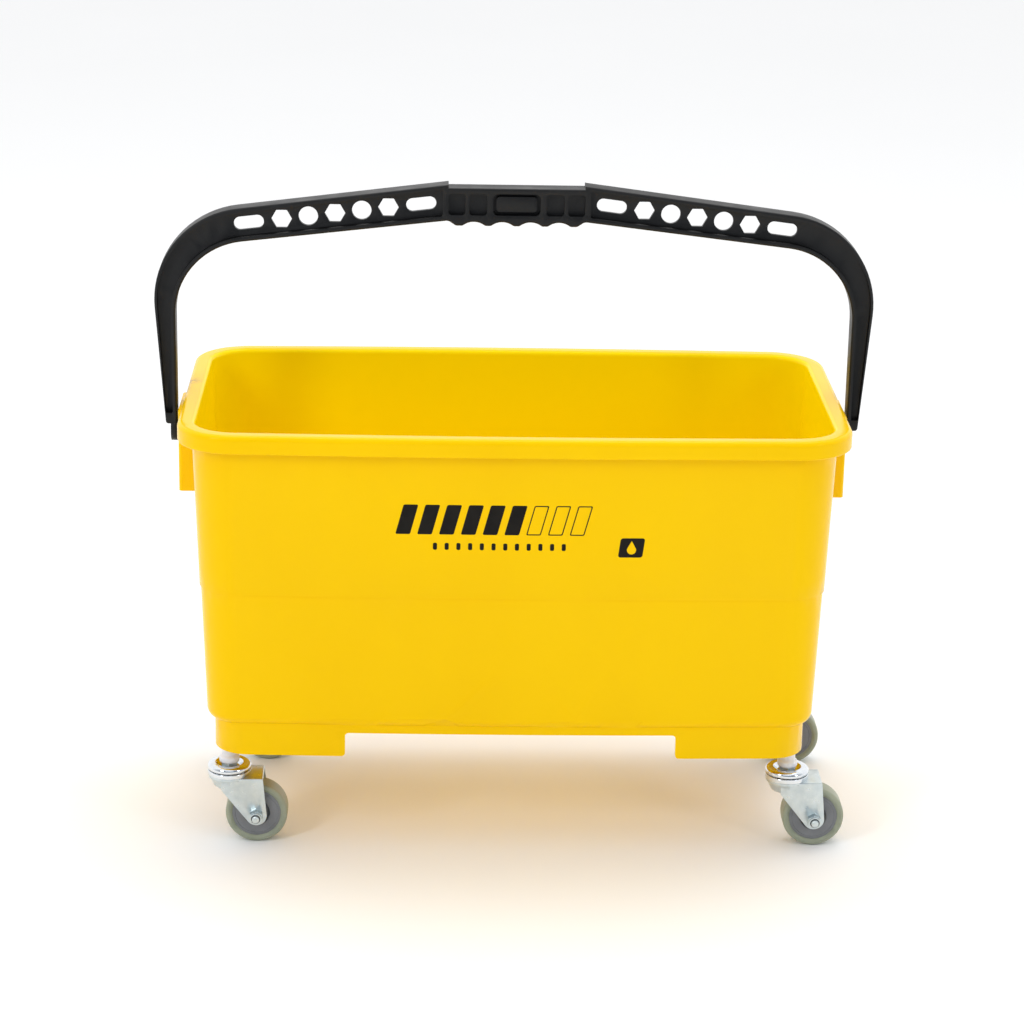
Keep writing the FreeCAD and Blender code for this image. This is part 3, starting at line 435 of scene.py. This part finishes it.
def make_rim_marks():
    """Fine raised lines across the rim's skirt where the mould's halves met."""
    for index, place in enumerate(RIM_MARK_PLACES):
        for side, face in ((-1, "front"), (1, "rear")):
            mesh = rim_mark_mesh(place * MM, side)
            make_piece("rim_mark_%s_%d" % (face, index), mesh, "yellow_plastic", "bucket_body")


def make_nut_insert(corner):
    """The locking insert in the mouth of the axle nut."""
    low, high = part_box(corner + "_axle_nut")
    middle = (low + high) / 2
    profile = [(radius * MM, low.y + depth * MM) for radius, depth in INSERT_PROFILE]
    mesh = ring_mesh("nut_insert", profile, 40, (middle.x, 0, middle.z))
    make_piece(corner + "_nut_insert", mesh, "dark_nylon", corner + "_caster")


def make_wheel_lines(corner):
    """A moulding line round each side of the tyre, and a fine bead round each side of the hub."""
    low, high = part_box(corner + "_wheel_tyre")
    hub_low, hub_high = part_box(corner + "_wheel_hub")
    middle = (low + high) / 2
    kinds = (("tyre_line", TYRE_LINE_PROFILE, (high.x - low.x) / 2, (high.y - low.y) / 2, "grey_tyre"),
             ("hub_bead", HUB_BEAD_PROFILE, (hub_high.x - hub_low.x) / 2, HUB_FACE, "grey_hub"))
    for side, face in ((-1, "front"), (1, "rear")):
        for kind, profile, radius, half_width, finish in kinds:
            points = [(radius - inset * MM, middle.y + side * (half_width + proud * MM)) for inset, proud in profile]
            mesh = ring_mesh(kind, points, 72, (middle.x, 0, middle.z))
            make_piece("%s_%s_%s" % (corner, kind, face), mesh, finish, corner + "_wheel")


# ---------------------------------------------------------------- studio

CAMERA_TARGET = Vector((0.001, 0.0, 0.2525))
CAMERA_DISTANCE = 2.4557
CAMERA_ELEVATION = math.radians(18.0)
CAMERA_YAW = math.radians(1.67)
CAMERA_ROLL = math.radians(1.1)
CAMERA_LENS = 105.5
SENSOR = 36.0
WORLD_STRENGTH = 1.15


def make_camera():
    """The camera in front of the bucket, a little above it and rolled by about a degree."""
    data = bpy.data.cameras.new("camera")
    data.lens = CAMERA_LENS
    data.sensor_width = SENSOR
    data.clip_end = 50
    camera = bpy.data.objects.new("camera", data)
    ahead = Vector((math.sin(CAMERA_YAW) * math.cos(CAMERA_ELEVATION),
                    math.cos(CAMERA_YAW) * math.cos(CAMERA_ELEVATION),
                    -math.sin(CAMERA_ELEVATION)))
    right = ahead.cross(Vector((0, 0, 1))).normalized()
    above = right.cross(ahead)
    tilt = Matrix.Rotation(-CAMERA_ROLL, 3, ahead)
    axes = Matrix((tilt @ right, tilt @ above, -ahead)).transposed()
    camera.matrix_world = Matrix.Translation(CAMERA_TARGET - CAMERA_DISTANCE * ahead) @ axes.to_4x4()
    bpy.context.scene.collection.objects.link(camera)
    bpy.context.scene.camera = camera


def make_floor():
    """A wide pale floor that fills the view behind the bucket."""
    mesh = bpy.data.meshes.new("floor")
    reach = 14.0
    corners = [(-reach, -reach, 0), (reach, -reach, 0), (reach, reach, 0), (-reach, reach, 0)]
    mesh.from_pydata(corners, [], [(0, 1, 2, 3)])
    floor = bpy.data.objects.new("floor", mesh)
    bpy.context.scene.collection.objects.link(floor)
    material, tree, shader = new_material("studio_floor")
    cloud = noise(tree, 0.5, 3.0)
    tree.links.new(mix(tree, cloud, (0.93, 0.93, 0.93), (0.95, 0.95, 0.95)), shader.inputs["Base Color"])
    shader.inputs["Roughness"].default_value = 0.7
    mesh.materials.append(material)


def make_light(name, place, target, size, power):
    """A white rectangular light of a size in metres and a power in watts, aimed at a target."""
    data = bpy.data.lights.new(name, "AREA")
    data.shape = "RECTANGLE"
    data.size, data.size_y = size
    data.energy = power
    light = bpy.data.objects.new(name, data)
    light.location = place
    light.rotation_euler = (Vector(target) - Vector(place)).to_track_quat("-Z", "Y").to_euler()
    bpy.context.scene.collection.objects.link(light)


def set_view():
    """Show colours as a camera's plain picture does, so that the yellow keeps its strength."""
    view = bpy.context.scene.view_settings
    view.view_transform = "Standard"
    view.look = "None"
    view.exposure = 0.0


def make_world():
    """Bright above and behind, fading to a dim blue-grey towards the camera's side of the room."""
    world = bpy.data.worlds.new("studio")
    world.use_nodes = True
    tree = world.node_tree
    background = next(node for node in tree.nodes if node.type == "BACKGROUND")
    place = add_node(tree, "TexCoord")
    split = add_node(tree, "SeparateXYZ")
    tree.links.new(place.outputs["Generated"], split.inputs["Vector"])
    depth = ramp(tree, split.outputs["Y"], 0.0, 1.0, (-0.75, 0.1))
    height = ramp(tree, split.outputs["Z"], 0.0, 1.0, (0.5, 0.9))
    open_sky = add_node(tree, "Math", operation="MAXIMUM")
    tree.links.new(depth, open_sky.inputs[0])
    tree.links.new(height, open_sky.inputs[1])
    tree.links.new(mix(tree, open_sky.outputs["Value"], (0.16, 0.19, 0.23), (1.0, 1.0, 1.0)),
                   background.inputs["Color"])
    background.inputs["Strength"].default_value = WORLD_STRENGTH
    bpy.context.scene.world = world


def make_studio():
    """The world and four soft lights, aimed at the middle of the bucket."""
    make_world()
    middle = (0, 0, 0.25)
    make_light("key", (-1.7, -1.9, 1.7), middle, (0.5, 1.0), 17)
    make_light("fill", (2.1, -1.9, 1.3), middle, (0.4, 1.0), 8)
    make_light("front", (0.0, -2.6, 1.9), middle, (2.2, 0.7), 4)
    make_light("top", (0.2, 0.5, 2.6), middle, (1.8, 1.2), 16)


WALL = wall_tree()
finish_cad_nodes()
make_print()
make_rim_marks()
for corner_name in CORNERS:
    make_nut_insert(corner_name)
    make_wheel_lines(corner_name)
make_camera()
make_floor()
make_studio()
set_view()
